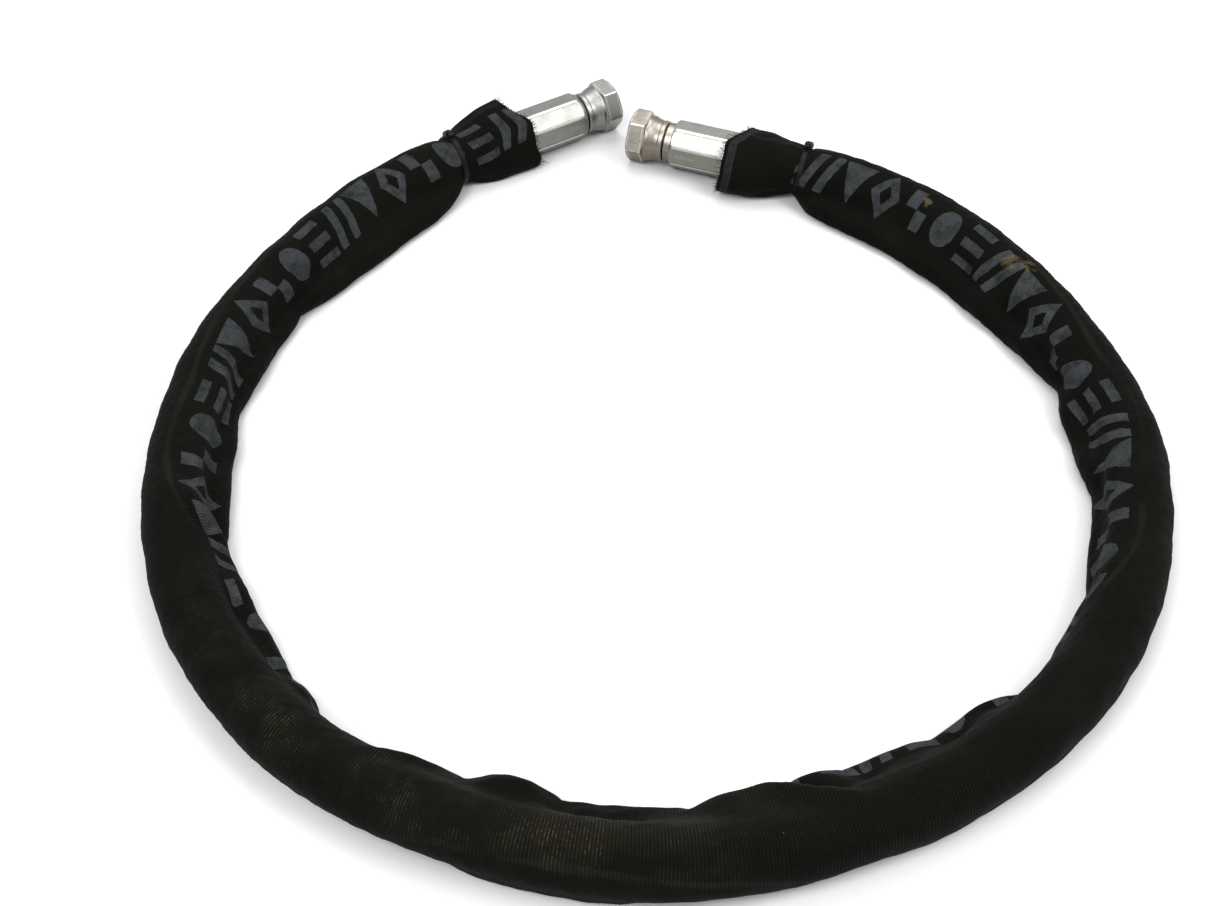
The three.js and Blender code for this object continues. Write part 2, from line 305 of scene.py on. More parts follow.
class Paint:
    """A procedural material with helpers for its fields and colours."""

    def __init__(self, name, color, roughness=0.5, metallic=0.0, **sockets):
        self.material = bpy.data.materials.new(name)
        self.material.use_nodes = True
        self.tree = self.material.node_tree
        self.shader = self.tree.nodes["Principled BSDF"]
        self.color = self.rgb(color)
        self.set("Base Color", self.color)
        for key, value in {"Roughness": roughness, "Metallic": metallic, **sockets}.items():
            self.shader.inputs[key].default_value = value
        self.normal = None

    def node(self, kind, **values):
        node = self.tree.nodes.new(kind)
        for key, value in values.items():
            setattr(node, key, value)
        return node

    def rgb(self, color):
        node = self.node("ShaderNodeRGB")
        node.outputs[0].default_value = (*color, 1)
        return node.outputs[0]

    def set(self, name, value):
        socket = value.socket if isinstance(value, Field) else value
        self.tree.links.new(socket, self.shader.inputs[name])

    def uv(self):
        node = self.node("ShaderNodeUVMap", uv_map="surface")
        split = self.node("ShaderNodeSeparateXYZ")
        self.tree.links.new(node.outputs[0], split.inputs[0])
        return Field(self.tree, split.outputs[0]), Field(self.tree, split.outputs[1])

    def position(self):
        node = self.node("ShaderNodeTexCoord")
        split = self.node("ShaderNodeSeparateXYZ")
        self.tree.links.new(node.outputs["Object"], split.inputs[0])
        return [Field(self.tree, split.outputs[i]) for i in range(3)]

    def facing_up(self):
        split = self.node("ShaderNodeSeparateXYZ")
        self.tree.links.new(self.node("ShaderNodeNewGeometry").outputs["Normal"], split.inputs[0])
        return Field(self.tree, split.outputs[2])

    def edges(self):
        """How far a surface point lies on a raised edge, about 0.5 on flat ground."""
        return Field(self.tree, self.node("ShaderNodeNewGeometry").outputs["Pointiness"])

    def vector(self, x, y, z=0.0):
        node = self.node("ShaderNodeCombineXYZ")
        feed(node, (x, y, z))
        return node.outputs[0]

    def noise(self, scale, detail=2.0, at=None, roughness=0.5):
        """Cloudy values from 0 to 1; scale is in clouds per metre."""
        node = self.node("ShaderNodeTexNoise")
        place = at if at is not None else self.node("ShaderNodeTexCoord").outputs["Object"]
        self.tree.links.new(place, node.inputs["Vector"])
        node.inputs["Scale"].default_value = scale
        node.inputs["Detail"].default_value = detail
        node.inputs["Roughness"].default_value = roughness
        return Field(self.tree, node.outputs["Fac"])

    def chance(self, at):
        """A random value from 0 to 1 for each whole-numbered place."""
        node = self.node("ShaderNodeTexWhiteNoise")
        self.tree.links.new(at, node.inputs["Vector"])
        return Field(self.tree, node.outputs["Value"])

    def tint(self, color, amount):
        """Mixes a colour over what is there so far."""
        node = self.node("ShaderNodeMix", data_type="RGBA")
        self.tree.links.new(amount.socket, node.inputs["Factor"])
        self.tree.links.new(self.color, node.inputs["A"])
        node.inputs["B"].default_value = (*color, 1)
        self.color = node.outputs["Result"]
        self.set("Base Color", self.color)

    def bump(self, height, depth):
        """Raises the surface by the field times depth, in metres."""
        node = self.node("ShaderNodeBump")
        node.inputs["Distance"].default_value = depth
        self.tree.links.new(height.socket, node.inputs["Height"])
        if self.normal is not None:
            self.tree.links.new(self.normal, node.inputs["Normal"])
        self.normal = node.outputs[0]
        self.tree.links.new(self.normal, self.shader.inputs["Normal"])


def srgb(*values):
    """A colour given as it looks on a screen, 0 to 255."""
    parts = [v / 255 for v in values]
    return tuple(p / 12.92 if p <= 0.04045 else ((p + 0.055) / 1.055) ** 2.4 for p in parts)


RIB = 0.0018  # pitch of the sleeve's ribs, along it
YARN = 0.0011  # pitch of the lengthwise yarns, round it
MARK_PITCH = 0.026  # from one printed mark to the next
STROKE = 0.0034  # half the width of a printed line
CREASE = 0.021  # the pressed fold of the flat tube, round from the printed row
STAINS = [(0.223, 0.104, 0.008), (0.232, 0.097, 0.006), (0.179, 0.161, 0.005)]  # x, y and size


def printed_marks(u, v):
    """A row of plain geometric marks along the sleeve, each about 30 mm tall, in a cycle of six."""
    v = v - v.over(GIRTH / 2) * GIRTH
    cell = (u / MARK_PITCH).floor()
    a = u - (cell + 0.5) * MARK_PITCH
    kind = (cell / 6.0 + 0.02).fract() * 6.0
    across, tall = abs(a), abs(v)
    slants = abs(abs(a + v * 0.3) - 0.0064).under(STROKE) * tall.under(0.0145)
    rungs = abs(abs(tall - 0.006) - 0.006).under(STROKE * 0.85) * across.under(0.0095)
    disc = (a * a + v * v * 0.6).root().under(0.0098)
    blocks = across.under(0.0090) * tall.under(0.0135) * (a * v).over(0.0)
    diamond = abs(tall * 0.66 + across - 0.0080).under(STROKE)
    wedge = across.under((v + 0.0145) * 0.40) * v.under(0.0145)
    marks = 0.0
    for i, shape in enumerate((slants, rungs, disc, blocks, diamond, wedge)):
        chosen = abs(kind - (i + 0.5)).under(0.5)
        marks = shape * chosen + marks
    return marks.least(1.0)


def sleeve_paint(flat):
    paint = Paint("sleeve_nylon", srgb(6, 7, 4), roughness=0.8,
                  **{"Specular IOR Level": 0.04, "Sheen Weight": 0.012, "Sheen Roughness": 0.5})
    u, v = paint.uv()
    x, y, _ = paint.position()
    rib = (u * (TAU / RIB) + paint.noise(60) * 1.6).sine() * 0.5 + 0.5
    yarn = (v * (TAU / YARN) + (u * (TAU / RIB / 2)).sine() * 1.2).sine() * 0.5 + 0.5
    weave = rib * 0.75 + yarn * 0.25
    cloud = paint.noise(22, 4, roughness=0.6)
    fine = paint.noise(260, 3)
    paint.tint(srgb(14, 14, 9), cloud.step(0.35, 0.8) * 0.7)
    rubbed = paint.noise(9, 3).step(0.35, 0.65) * 0.8 + 0.2
    paint.tint(srgb(3, 4, 3), weave.step(0.45, 0.1) * rubbed * 0.7)
    paint.tint(srgb(27, 26, 18), rib.step(0.7, 1.0) * fine.step(0.35, 0.75) * rubbed * 0.5)

    crease = abs(abs(v - CREASE) - GIRTH / 2) - GIRTH / 4
    crease = abs(abs(crease) - GIRTH / 4) + (paint.noise(35) - 0.5) * 0.004
    crease_line = crease.step(0.0026, 0.0004) * paint.noise(14, 2).step(0.35, 0.6)
    paint.tint(srgb(44, 43, 35), crease_line * (rib * 0.5 + 0.4) * 0.28)

    rough_u, rough_v = u + (fine - 0.5) * 0.0012, v + (fine - 0.5) * 0.0012
    marks = printed_marks(rough_u, rough_v) * rough_u.under(flat - 0.052)
    band = abs(rough_u - (flat - 0.0052)).under(0.0028) * abs(v - GIRTH / 2).over(0.030)
    worn = paint.noise(110, 5, roughness=0.75).step(0.25, 0.62) * 0.7 + 0.2
    grain = ((u * 0.5 + v) * (TAU / YARN)).sine() * 0.5 + 0.5
    grain = (grain * 0.5 + weave * 0.4 + fine * 0.5) * 0.95
    paint.tint(srgb(62, 65, 67), (marks.most(band * 0.4) * worn * grain).least(1.0))

    up = paint.facing_up().step(0.1, 0.85)
    front = y.step(-0.10, -0.19) * x.step(0.12, 0.0)
    dust = front * up * paint.noise(30, 5, roughness=0.65).step(0.42, 0.75)
    patch_x, patch_y = (x + 0.020) * 16.0, (y + 0.276) * 60.0
    patch = (patch_x * patch_x + patch_y * patch_y).root().step(1.3, 0.3)
    dust = dust.most(patch * paint.noise(40, 4, roughness=0.6).step(0.32, 0.60))
    paint.tint(srgb(44, 39, 28), dust * (rib * 0.6 + 0.2) * 0.42)
    glints = dust * rib.step(0.7, 1.0) * yarn.step(0.3, 0.9) * paint.noise(500, 2).step(0.45, 0.65)
    paint.tint(srgb(104, 100, 89), glints * paint.noise(45, 3).step(0.40, 0.60) * 0.5)
    stain_noise = paint.noise(120, 3)
    for stain_x, stain_y, size in STAINS:
        from_x, from_y = x - stain_x, y - stain_y
        gap = (from_x * from_x + from_y * from_y).root()
        spot = (gap + (stain_noise - 0.5) * 0.018).step(size * 0.8, size * 0.2) * up
        paint.tint(srgb(110, 96, 72), spot * (rib * 0.5 + 0.35) * 0.55)
    specks = paint.noise(700, 1).step(0.84, 0.88) * paint.noise(20, 1).step(0.5, 0.62)
    paint.tint(srgb(150, 148, 140), specks * 0.7)
    paint.bump(cloud, 0.0006)
    paint.bump(weave * rubbed + fine * 0.25, 0.00042)
    return paint.material


def steel_paint(name, color, under, roughness, brown, scratches):
    """Worn zinc-plated steel: turning marks, rubbed edges, brownish patches, and painted shade on faces
    that point sideways or down.
    """
    paint = Paint(name, srgb(*color), roughness=roughness, metallic=1.0)
    u, v = paint.uv()
    cloud = paint.noise(70, 5, roughness=0.62)
    fine = paint.noise(900, 3)
    paint.tint(tuple(0.6 * c for c in srgb(*color)), cloud.step(0.42, 0.7) * 0.5)
    paint.tint(srgb(92, 78, 56), paint.noise(120, 5, roughness=0.7).step(0.48, 0.78) * brown)
    # Painted shade: faces that point sideways or down are mixed towards the under colour, whichever way
    # the part is turned.
    paint.tint(srgb(*under), paint.facing_up().step(0.42, 0.05) * 0.85)
    paint.tint(srgb(226, 224, 219), paint.edges().step(0.515, 0.55) * 0.7)
    paint.tint(srgb(40, 36, 29), paint.edges().step(0.47, 0.42) * 0.75)
    turning = paint.noise(1.0, 2, at=paint.vector(u * 4200, v * 30))
    rough = turning * 0.16 + cloud * 0.2 + fine * 0.06 + (roughness - 0.2)
    paint.set("Roughness", rough)
    paint.bump(turning, 0.00003)
    nicks = paint.noise(420, 2, at=paint.vector(u * 1.0, v * 0.35)).step(0.66, 0.72)
    paint.bump(nicks * -1.0, 0.00006 * scratches)
    return paint


def stamped(paint, low, high, around, tall, color=(188, 185, 178)):
    """A row of small pressed ticks, dashes and dots between two places along the axis."""
    u, v = paint.uv()
    cell = (u / 0.0019).floor()
    a = (u / 0.0019).fract() - 0.5
    b = (v - around) / tall
    pick = paint.chance(paint.vector(cell, 7.0))
    tick = abs(a).under(0.13) * abs(b).under(0.5)
    dash = abs(abs(b) - 0.38).under(0.12) * abs(a).under(0.32)
    dot = (a * a + b * b).under(0.05)
    mark = tick * pick.under(0.4) + dash * pick.over(0.4) * pick.under(0.72) + dot * pick.over(0.72)
    mark = mark * u.over(low) * u.under(high)
    paint.bump(mark.least(1.0) * -1.0, 0.00028)
    paint.tint(srgb(*color), mark.least(1.0) * 0.45)


def rubber_paint(name, color):
    paint = Paint(name, color, roughness=0.7)
    grain = paint.noise(900, 4, roughness=0.7)
    paint.tint(srgb(52, 50, 47), paint.noise(60, 4).step(0.45, 0.75) * 0.5)
    paint.bump(grain, 0.0002)
    return paint.material


def braid_paint():
    """Brass-coated wire braid: two sets of crossing strands."""
    paint = Paint("braid_wire", srgb(150, 132, 92), roughness=0.4, metallic=1.0)
    u, v = paint.uv()
    one = ((u * 0.8 + v) * (TAU / 0.0024)).sine() * 0.5 + 0.5
    two = ((u * 0.8 - v) * (TAU / 0.0024)).sine() * 0.5 + 0.5
    strands = one.most(two)
    paint.tint(srgb(70, 58, 38), strands.step(0.5, 0.15) * 0.8)
    paint.bump(strands, 0.0003)
    return paint.material


def tie_paint():
    paint = Paint("tie_nylon", srgb(8, 9, 9), roughness=0.5, **{"Specular IOR Level": 0.1})
    wear = paint.noise(160, 4, roughness=0.65)
    paint.tint(srgb(110, 110, 108), paint.edges().step(0.53, 0.6) * wear.step(0.45, 0.65) * 0.6)
    paint.tint(srgb(20, 20, 19), wear.step(0.45, 0.7) * 0.5)
    paint.set("Roughness", wear * 0.3 + 0.3)
    paint.bump(paint.noise(1200, 2), 0.00005)
    return paint.material


def floor_paint():
    paint = Paint("pale_floor", (0.60, 0.60, 0.60), roughness=0.9, **{"Specular IOR Level": 0.0})
    paint.tint((0.585, 0.59, 0.60), paint.noise(2.5, 3).step(0.4, 0.8) * 0.3)
    return paint.material


NUT_CORNER = TAU * AROUND / 6  # from one corner of the hexagon to the next, along v
CRIMP_FLAT = TAU * AROUND / 8  # from the middle of one crimped flat to the next, along v


def steel_materials():
    # The second colour given to each steel is its painted shade, for faces that point sideways or down.
    ferrule = steel_paint("ferrule_steel", (154, 153, 148), (112, 110, 102), 0.37, 0.15, 0.6)
    stamped(ferrule, -0.024, -0.009, 0.0005, 0.0032)
    stamped(ferrule, -0.018, -0.009, 0.0498, 0.0032)
    u, v = ferrule.uv()
    aside = abs((v / CRIMP_FLAT + 0.5).fract() - 0.5) * CRIMP_FLAT
    crimped = u.step(-0.0062, -0.0074) * u.over(-0.0566)
    # Painted shade along the foot of each raised crimp line, and a painted highlight along its top.
    ferrule.tint(srgb(70, 67, 60), abs(aside - 0.0051).step(0.00028, 0.00005) * crimped * 0.6)
    ferrule.tint(srgb(214, 213, 209), aside.step(0.0054, 0.0057) * crimped * 0.6)
    stem = steel_paint("plated_steel", (158, 154, 143), (96, 91, 80), 0.34, 0.4, 0.8)
    nut = steel_paint("nut_steel", (168, 164, 154), (104, 99, 90), 0.35, 0.5, 1.4)
    stamped(nut, 0.0156, 0.0238, 0.0066, 0.0038, color=(88, 78, 58))
    stamped(nut, 0.0160, 0.0238, 0.0104, 0.0030, color=(88, 78, 58))
    stamped(nut, 0.0156, 0.0238, 0.0419, 0.005, color=(110, 104, 92))
    u, v = nut.uv()
    x = nut.position()[0]
    left, right = x.step(-0.014, -0.020), x.step(-0.020, -0.014)
    nut.tint(srgb(142, 142, 141), left * 0.6)
    stain = right * nut.noise(90, 4, roughness=0.65).step(0.3, 0.62) * u.under(0.0135)
    nut.tint(srgb(116, 104, 86), stain * 0.5)
    nut.tint(srgb(150, 141, 117), right * u.over(0.0150) * nut.noise(70, 3).step(0.35, 0.65) * 0.4)
    corner = abs((v / NUT_CORNER + 0.5).fract() - 0.5).step(0.024, 0.008) * u.over(0.0140)
    rim = abs(u - 0.0152).step(0.0005, 0.0001).most(abs(u - 0.0243).step(0.0005, 0.0001))
    worn = nut.noise(260, 3).step(0.3, 0.55)
    nut.tint(srgb(222, 220, 214), corner.most(rim) * worn * 0.65)
    return {"ferrule": ferrule.material, "stem": stem.material, "nut": nut.material}


# -------- hose

def hose_layer(node, inner, outer, start, end, material, slot, sides=36, rings=300):
    s = np.linspace(start, end, rings)
    centre, _, inward = ROUTE.at(s)
    theta = np.arange(sides) / sides * TAU

    def wall(radius):
        out = inward[:, None] * np.cos(theta)[None, :, None] + UP * np.sin(theta)[None, :, None]
        return centre[:, None] + radius * out

    rows = np.concatenate([wall(outer), wall(inner)[::-1]])
    uv = (np.concatenate([s, s[::-1]]), theta * outer)
    piece = grid_mesh(node.replace("hose_cover", "outer_hose_cover") + "_tube", rows, material,
                      close_rows=True, uv=uv)
    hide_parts(node)
    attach(piece, "hose_assembly")
    return piece


def make_hose():
    tube = rubber_paint("tube_rubber", srgb(26, 26, 26))
    cover = rubber_paint("cover_rubber", srgb(24, 24, 24))
    wire = braid_paint()
    looks = {
        "hose_inner_tube": (tube, "tube_rubber"),
        "inner_wire_braid": (wire, "braid_wire"),
        "outer_wire_braid": (wire, "braid_wire"),
        "hose_cover": (cover, "cover_rubber"),
    }
    bare = FERRULE_REAR + COVER_GAP - HOSE_END
    for node, (inner, outer) in HOSE_LAYERS.items():
        start = bare if node == "hose_cover" else 0.0
        piece = hose_layer(node, inner, outer, start, ROUTE.length - start, *looks[node])
        if node == "hose_cover":
            hose = piece
    return hose


# -------- sleeve

# Where the slack cloth bunches along the hose, in millimetres from the hose's left end:
# where each fold starts and ends, how far it stands out, and how far the notch after it does.
FOLDS = [
    (95, 262, 18, 8), (262, 358, 12, 8), (358, 470, 13, 7), (470, 574, 12, 6),
    (574, 602, 7, 1.5), (602, 652, 1, 2), (652, 704, 6, 4), (704, 752, 13, 7),
    (752, 822, 8, 6), (822, 908, 15, 9), (908, 962, 11, 7), (962, 1018, 9, 1),
    (1018, 1056, 0.8, 1), (1056, 1110, 3.5, 1), (1110, 1190, 7.5, 8), (1190, 1276, 14, 4),
    (1276, 1525, 16.5, 8),
]
# Which way the printed side of the sleeve faces along the hose: 0 inwards, 90 up.
PRINT_SIDE = [(0, 66), (130, 60), (260, 44), (400, 16), (500, -4), (600, -30), (700, -60),
              (790, -60), (860, -34), (940, -26), (1060, -12), (1200, 8), (1300, 27),
              (1420, 44), (1620, 52)]

RINGS = 330
POINTS = 32
END_RINGS = 14  # rings that start in the shape of an open end
REACH = 0.0365  # how far the slack side stands from the hose's centre where it hangs low
TIP = 0.0025  # radius of the cloth's turn at its slack side
SNUG_PLAY = 0.0006
OPEN_END = 0.0268  # half the width of the open ends, where the tube has sprung back towards flat


def bulge(s):
    """How far the slack cloth stands out past the snug side, by distance along the hose."""
    mm = s / MM
    result = np.full_like(mm, 2.0)
    foot = 4.0
    for start, end, peak, notch in FOLDS:
        x = (mm - start) / (end - start)
        inside = (x >= 0) & (x < 1)
        x = np.clip(x, 0, 1)
        base = foot + (notch - foot) * x
        result = np.where(inside, base + (peak - base) * np.sin(np.pi * x) ** 0.6, result)
        foot = notch
    return result * MM


def teardrop(reach, tip_radius, lean, first, count):
    """Points evenly spaced round a section: a round back and a free side that leans at an angle.

    first is the direction that the first point lies in.
    """
    half = np.arccos(np.clip((SLEEVE_HUG - tip_radius) / (reach - tip_radius), -1, 1))
    back = np.linspace(half, TAU - half, 60)
    tip = np.linspace(-half, half, 20)
    outline = np.concatenate([
        np.stack([SLEEVE_HUG * np.cos(back), SLEEVE_HUG * np.sin(back)], -1),
        np.stack([reach - tip_radius + tip_radius * np.cos(tip), tip_radius * np.sin(tip)], -1),
    ])
    outline = np.vstack([outline, outline[:1]])
    c, s = math.cos(lean), math.sin(lean)
    outline = outline @ np.array([[c, s], [-s, c]])
    arc = np.concatenate([[0], np.cumsum(np.linalg.norm(np.diff(outline, axis=0), axis=1))])
    angle = np.arctan2(outline[:-1, 1], outline[:-1, 0])
    start = arc[np.argmin(np.abs((angle - first + math.pi) % TAU - math.pi))]
    at = (start + np.arange(count) / count * arc[-1]) % arc[-1]
    return np.stack([np.interp(at, arc, outline[:, i]) for i in (0, 1)], -1)


def ease(cloth, rings, around, rest, least, most, give):
    """Moves pairs of points that many rings and points apart back towards their flat distance.

    least may be one number or one for each ring.
    """
    one = cloth[:len(cloth) - rings]
    other = np.roll(cloth, -around, axis=1)[rings:]
    gap = other - one
    length = np.linalg.norm(gap, axis=2, keepdims=True) + 1e-9
    change = give * 0.5 * (1 - np.clip(length, least * rest, most * rest) / length) * gap
    moved = cloth.copy()
    moved[:len(cloth) - rings] += change
    moved[rings:] -= np.roll(change, around, axis=1)
    return moved


FIRST_TIE = FITTINGS["left"]["tie"] - HOSE_END
LAST_TIE = ROUTE.length - FITTINGS["right"]["tie"] + HOSE_END


def tie_distance(s):
    """How far a place along the hose is from the nearer cable tie."""
    return np.minimum(np.abs(s - FIRST_TIE), np.abs(s - LAST_TIE))


def beyond_ties(s):
    """1 for the sleeve's loose ends, past the cable ties, and 0 between the ties."""
    return ((s < FIRST_TIE) | (s > LAST_TIE)) * 1.0


def silhouette_side(s):
    """The angle, up from straight inwards, of the sleeve's inner edge as the camera sees it."""
    centre, _, inward = ROUTE.at(s)
    sight = centre - np.array(EYE)
    return np.arctan2(np.einsum("rk,rk->r", sight, inward), -sight[:, 2])


def raised(inward, angle):
    """Directions at an angle up from straight inwards, one for each ring of the cloth."""
    return inward * np.cos(angle)[:, None] + UP * np.sin(angle)[:, None]


def contain(cloth, centre, along, inward, s):
    """Keeps the cloth off the hose and floor, snug outside the bend and inside the cable ties."""
    away = cloth - centre[:, None]
    slip = np.einsum("rck,rk->rc", away, along)[..., None] * along[:, None]
    radial = away - slip
    radius = np.linalg.norm(radial, axis=2, keepdims=True) + 1e-9
    side = silhouette_side(s)
    # The slack hangs below the edge that the camera sees on the inside of the loop.
    open_way = raised(inward, np.maximum(side - 0.7, -0.5))
    facing = np.einsum("rck,rk->rc", radial / radius, open_way)[..., None]
    facing = np.maximum(facing, beyond_ties(s)[:, None, None])
    snug = SLEEVE_HUG + SNUG_PLAY + 0.04 * smoothstep(facing, -0.35, 0.75)
    near = tie_distance(s)
    least = SLEEVE_HUG - (SLEEVE_HUG - TIE_GRIP) * np.exp(-((near / 0.007) ** 2))
    most = TIE_GRIP + np.maximum(near - 0.0022, 0) * 4.0
    most = np.maximum(most, least)[:, None, None]
    held = np.clip(radius, least[:, None, None], np.minimum(most, snug))
    cloth = centre[:, None] + slip + radial * held / radius
    edge = raised(inward, side)
    past = np.einsum("rck,rk->rc", cloth - centre[:, None], edge)
    past = past - (SLEEVE_OUTSIDE + bulge(s) - CLOTH)[:, None]
    between = (1 - beyond_ties(s))[:, None, None]
    cloth -= between * np.maximum(past, 0)[..., None] * edge[:, None]
    cloth[..., 2] = np.maximum(cloth[..., 2], CLOTH / 2)
    return cloth


def slack_side(s):
    """How far the cloth's slack side stands from the hose's centre, and the angle it leans at."""
    out = bulge(s) + SLEEVE_OUTSIDE
    reach = np.maximum(out, REACH - 0.25 * (REACH - out))
    side = silhouette_side(s)
    lean = side - np.arccos(np.clip(out / reach, -1, 1))
    lowest = TIP + 0.0005 - AXIS_HEIGHT
    on_floor = reach * np.sin(lean) < lowest
    across = np.maximum((out - lowest * np.sin(side)) / np.cos(side), 0.02)
    lean = np.where(on_floor, np.arctan2(lowest, across), lean)
    reach = np.where(on_floor, np.hypot(across, lowest), reach)
    return reach, lean


def pull_to_tip(cloth, goal, free):
    """How strongly each point is drawn to its first place: the tips of the slack side only."""
    pull = np.zeros((RINGS, POINTS, 1))
    tip = np.argmin(np.linalg.norm(cloth - goal[:, None], axis=2), axis=1)
    pull[np.arange(RINGS), tip, 0] = np.where(free, 1.0, 0.0)
    return np.maximum(pull, 0.6 * np.maximum(np.roll(pull, 1, 1), np.roll(pull, -1, 1)))


def relax(cloth, cell, step, gather):
    """One pass of the cloth towards its flat size; gather is the least share kept round a ring."""
    cloth = ease(cloth, 1, 0, cell, 0.935, 1.0, 0.8)
    cloth = ease(cloth, 0, 1, step, 0.97 * gather, 1.0, 0.8)
    cloth = ease(cloth, 1, 1, math.hypot(cell, step), 0.93 * gather[1:], 1.05, 0.25)
    cloth = ease(cloth, 1, -1, math.hypot(cell, step), 0.93 * gather[1:], 1.05, 0.25)
    cloth = ease(cloth, 2, 0, 2 * cell, 0.925, 1.0, 0.3)
    cloth = ease(cloth, 4, 0, 4 * cell, 0.90, 1.0, 0.25)
    cloth = ease(cloth, 8, 0, 8 * cell, 0.86, 1.0, 0.08)
    cloth = ease(cloth, 0, 2, 2 * step, 0.93 * gather, 1.0, 0.35)
    return ease(cloth, 0, 4, 4 * step, 0.80 * gather, 1.0, 0.05)


def slack_cloth():
    """The sleeve's cloth as rings of points, relaxed to its flat size round the hose."""
    start = FITTINGS["left"]["sleeve_end"] - HOSE_END
    finish = ROUTE.length - FITTINGS["right"]["sleeve_end"] + HOSE_END
    fine = np.linspace(start, finish, 4000)
    outer = fine + SLEEVE_HUG * (ROUTE.heading_at(fine) - ROUTE.heading_at(start))
    flat = outer[-1] - outer[0]
    s = np.interp(np.linspace(outer[0], outer[-1], RINGS), outer, fine)
    centre, along, inward = ROUTE.at(s)
    reach, lean = slack_side(s)
    printed = np.radians(np.interp(s / MM, *np.array(PRINT_SIDE, float).T))
    cloth = np.zeros((RINGS, POINTS, 3))
    for i in range(RINGS):
        shape = teardrop(reach[i], TIP, lean[i], printed[i], POINTS)
        cloth[i] = centre[i] + shape[:, :1] * inward[i] + shape[:, 1:] * UP
    near = tie_distance(s)
    room = np.clip(0.82 + bulge(s) / 0.07, 0.82, 1.0)
    gather = (room * (1 - 0.3 * np.exp(-((near / 0.009) ** 2))))[:, None, None]
    clear_of_ends = np.maximum(start + 0.066 - s, s - (finish - 0.06)) <= 0
    goal = centre + raised(inward, lean) * reach[:, None]
    pull = pull_to_tip(cloth, goal, (near > 0.02) & clear_of_ends)
    hung = cloth.copy()
    for side, rows in (("left", slice(0, END_RINGS)), ("right", slice(RINGS - END_RINGS, RINGS))):
        cloth[rows] = open_end(side, s[rows], centre[rows], along[rows], inward[rows], printed[rows])
    pinned = cloth.copy()
    hold = np.maximum(smoothstep(s, start + 0.03, start), smoothstep(s, finish - 0.03, finish))
    passes = 460
    for n in range(passes):
        cloth[..., 2] -= 0.00001
        cloth = relax(cloth, flat / (RINGS - 1), GIRTH / POINTS, gather)
        cloth += 0.15 * pull * (hung - cloth) * (1.0 if n < 0.75 * passes else 0.3)
        cloth += hold[:, None, None] * 0.5 * (pinned - cloth)
        cloth = contain(cloth, centre, along, inward, s)
    for _ in range(4):
        cloth[1:-1] = 0.5 * cloth[1:-1] + 0.25 * (cloth[2:] + cloth[:-2])
        cloth = contain(cloth, centre, along, inward, s)
    return cloth, s, flat


def open_end(side, s, centre, along, inward, printed):
    """The woven tube's open end: it springs back towards the flat shape that it was sold in."""
    left = side == "left"
    tilt = math.radians(145 if left else -12)
    edge = s[0] if left else s[-1]
    depth = np.abs(s - edge)
    spread = smoothstep(tie_distance(s), -0.006, 0.022)
    shift = (0.0035 if left else 0.0025) * spread
    rows = []
    for i in range(len(s)):
        a = SLEEVE_HUG + (OPEN_END - SLEEVE_HUG) * spread[i]
        b = SLEEVE_HUG + SNUG_PLAY
        theta = printed[i] + np.arange(POINTS) / POINTS * TAU
        c, q = np.cos(theta - tilt), np.sin(theta - tilt)
        power = 2.0 - 0.25 * spread[i]
        radius = (np.abs(c / a) ** power + np.abs(q / b) ** power) ** (-1 / power) + shift[i] * c
        out = np.cos(theta)[:, None] * inward[i] + np.sin(theta)[:, None] * UP
        cut = 0.004 + 0.012 * smoothstep(c, 0.1, 1.0) if left else 0.010 * smoothstep(-c, -0.2, 1.0)
        cut = cut - 0.0010 + 0.0007 * np.sin(5 * theta) + 0.0005 * np.sin(9 * theta + 1)
        back = cut * smoothstep(depth[i], 0.06, 0.0)
        rows.append(centre[i] + radius[:, None] * out + (back if left else -back)[:, None] * along[i])
    return np.array(rows)


def doubled(grid, closed):
    """Rows of points with a new row midway between each two, on a smooth curve."""
    after = np.roll(grid, -1, 0)
    before, later = np.roll(grid, 1, 0), np.roll(grid, -2, 0)
    middle = (9 * (grid + after) - before - later) / 16
    if not closed:
        middle[0] = (grid[0] + grid[1]) / 2
        middle[-2] = (grid[-2] + grid[-1]) / 2
    result = np.empty((2 * len(grid), *grid.shape[1:]))
    result[::2], result[1::2] = grid, middle
    return result if closed else result[:-1]


def outward_normals(cloth):
    around = np.roll(cloth, -1, 1) - np.roll(cloth, 1, 1)
    lengthwise = np.gradient(cloth, axis=0)
    normal = np.cross(around, lengthwise)
    normal /= np.linalg.norm(normal, axis=2, keepdims=True) + 1e-12
    middle = cloth.mean(1, keepdims=True)
    flip = np.sign(np.einsum("ijk,ijk->", normal, cloth - middle))
    return normal * flip


